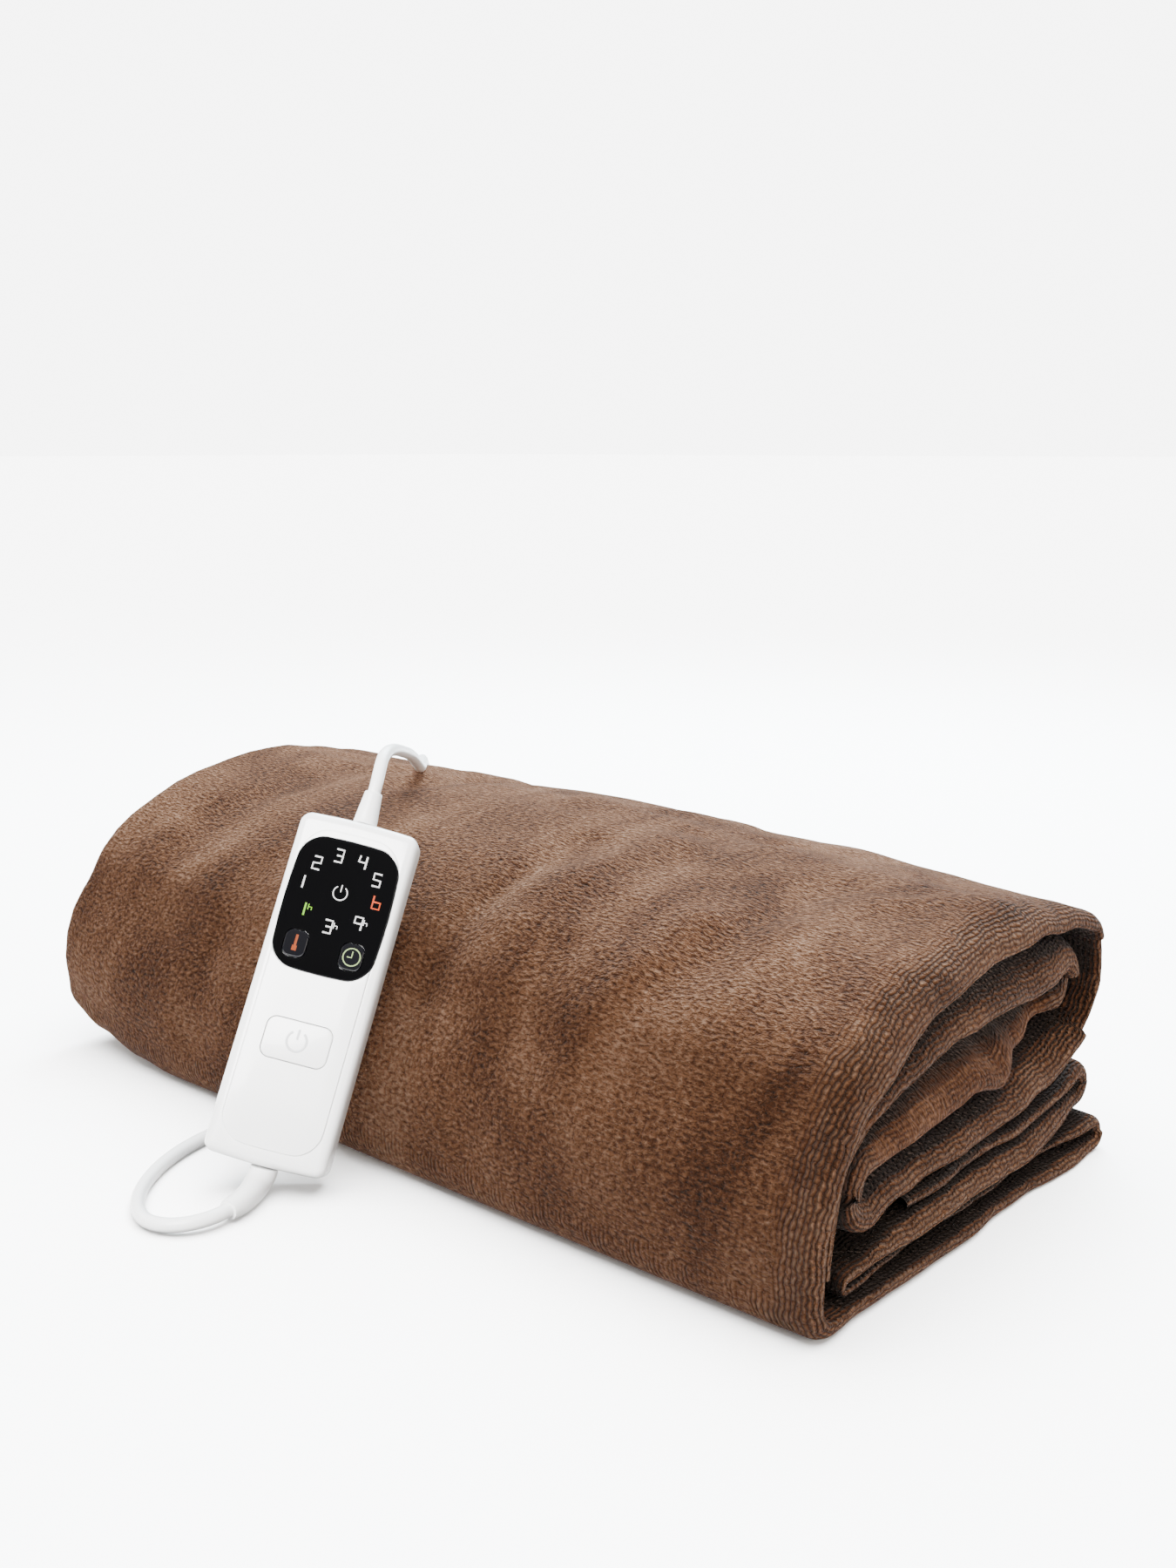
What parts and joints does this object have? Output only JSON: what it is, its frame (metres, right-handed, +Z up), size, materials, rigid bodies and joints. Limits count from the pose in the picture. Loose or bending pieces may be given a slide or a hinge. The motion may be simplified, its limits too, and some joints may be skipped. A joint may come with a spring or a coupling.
{
  "type": "electric heated throw blanket",
  "caption": "Plush electric heated throw folded into a bundle, with a handheld control leaning on its front, its leads, a connector and a wound mains lead with its plug.",
  "frame": {"origin": "near the middle of the bundle's flat underside, on the surface it lies on", "axes": "+X along the bundle towards the end that shows its folds, +Y from the front, where the handset leans, to the back, +Z up"},
  "size_m": [0.422, 0.4116, 0.1589],
  "materials": {
    "plush": "matt short-pile plush",
    "shell": "satin gloss",
    "lens": "high gloss",
    "flex": "semi-matt flexible plastic",
    "pin": "satin"
  },
  "bodies": {
    "bundle": {"throw": "plush", "handset_front": "shell", "handset_back": "shell", "display_lens": "lens", "throw_lead_relief": "flex", "mains_lead_relief": "flex", "throw_lead": "flex", "throw_connector": "shell", "mains_lead": "flex", "mains_lead_tail": "flex", "mains_lead_coil": "flex", "plug_body": "shell", "pin_line": "pin", "pin_neutral": "pin", "pin_earth": "pin"},
    "power_button": {"power_key": "shell"},
    "heat_button": {"heat_key": "lens"},
    "timer_button": {"timer_key": "lens"}
  },
  "joints": [
    {"name": "power_press", "type": "slide", "parent": "bundle", "child": "power_button", "axis": [-0.5826, 0.6944, -0.4225], "range_m": [0, 0.0008], "stiffness_N_per_m": 900},
    {"name": "heat_press", "type": "slide", "parent": "bundle", "child": "heat_button", "axis": [-0.5826, 0.6944, -0.4225], "range_m": [0, 0.0005], "stiffness_N_per_m": 900},
    {"name": "timer_press", "type": "slide", "parent": "bundle", "child": "timer_button", "axis": [-0.5826, 0.6944, -0.4225], "range_m": [0, 0.0005], "stiffness_N_per_m": 900}
  ]
}
